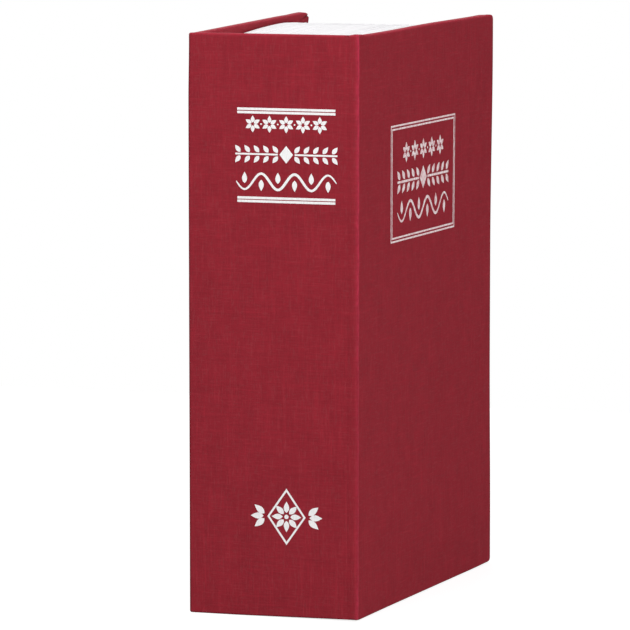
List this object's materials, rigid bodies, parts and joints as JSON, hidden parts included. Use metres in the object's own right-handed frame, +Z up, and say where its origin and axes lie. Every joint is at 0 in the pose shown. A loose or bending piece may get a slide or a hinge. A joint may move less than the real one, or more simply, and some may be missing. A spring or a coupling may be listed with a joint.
{
  "type": "book diversion safe",
  "caption": "Small upright hardback book whose pages hide a lockable steel box under a hinged lid; the front cover stands slightly ajar.",
  "frame": {"origin": "centre of the bounding box's bottom face, on the surface that the book stands on, with the front cover ajar as stored", "axes": "+Z up along the book's height, +X through its thickness towards the front cover, +Y across its width from spine to fore-edge"},
  "size_m": [0.066, 0.1152, 0.18],
  "materials": {
    "covering_paper": "dark red linen-embossed covering paper with pale foil rules",
    "greyboard": "raw grey binder's board",
    "endpaper": "uncoated cream endpaper",
    "page_paper": "trimmed uncoated page edges",
    "painted_steel": "fine textured powder coat",
    "zinc_plated_steel": "bright zinc plating",
    "chromed_zinc": "polished chrome plating"
  },
  "bodies": {
    "case": {"back_board": "greyboard", "back_covering": "covering_paper", "back_endpaper": "endpaper", "spine_board": "greyboard", "spine_covering": "covering_paper", "spine_lining": "endpaper", "page_block": "page_paper", "safe_box": "painted_steel", "hinge_box_leaf": "zinc_plated_steel", "hinge_pin": "zinc_plated_steel", "lock_keeper": "zinc_plated_steel", "box_leaf_rivet_1": "zinc_plated_steel", "box_leaf_rivet_2": "zinc_plated_steel", "box_leaf_rivet_3": "zinc_plated_steel", "box_leaf_rivet_4": "zinc_plated_steel", "box_leaf_rivet_5": "zinc_plated_steel"},
    "front_cover": {"front_board": "greyboard", "front_covering": "covering_paper", "front_endpaper": "endpaper"},
    "lid": {"safe_lid": "painted_steel", "hinge_lid_leaf": "zinc_plated_steel", "lock_housing": "chromed_zinc", "lock_washer": "zinc_plated_steel", "lock_nut": "zinc_plated_steel", "lid_leaf_rivet_1": "zinc_plated_steel", "lid_leaf_rivet_2": "zinc_plated_steel", "lid_leaf_rivet_3": "zinc_plated_steel", "lid_leaf_rivet_4": "zinc_plated_steel", "lid_leaf_rivet_5": "zinc_plated_steel"},
    "lock_core": {"lock_plug": "chromed_zinc", "lock_cam": "zinc_plated_steel", "cam_screw": "zinc_plated_steel"}
  },
  "joints": [
    {"name": "cover_hinge", "type": "hinge", "parent": "case", "child": "front_cover", "pos_m": [0.01803, -0.05738, 0.09], "axis": [0, 0, -1], "range_deg": [0, 168]},
    {"name": "lid_hinge", "type": "hinge", "parent": "case", "child": "lid", "pos_m": [0.01488, -0.04983, 0.09], "axis": [0, 0, -1], "range_deg": [0, 109.2]},
    {"name": "lock_turn", "type": "hinge", "parent": "lid", "child": "lock_core", "pos_m": [0.01488, 0.01872, 0.09], "axis": [-1, 0, 0], "range_deg": [0, 90]}
  ],
  "couplings": [
    {"joint": "lid_hinge", "follows": "cover_hinge", "ratio": 0.65}
  ]
}
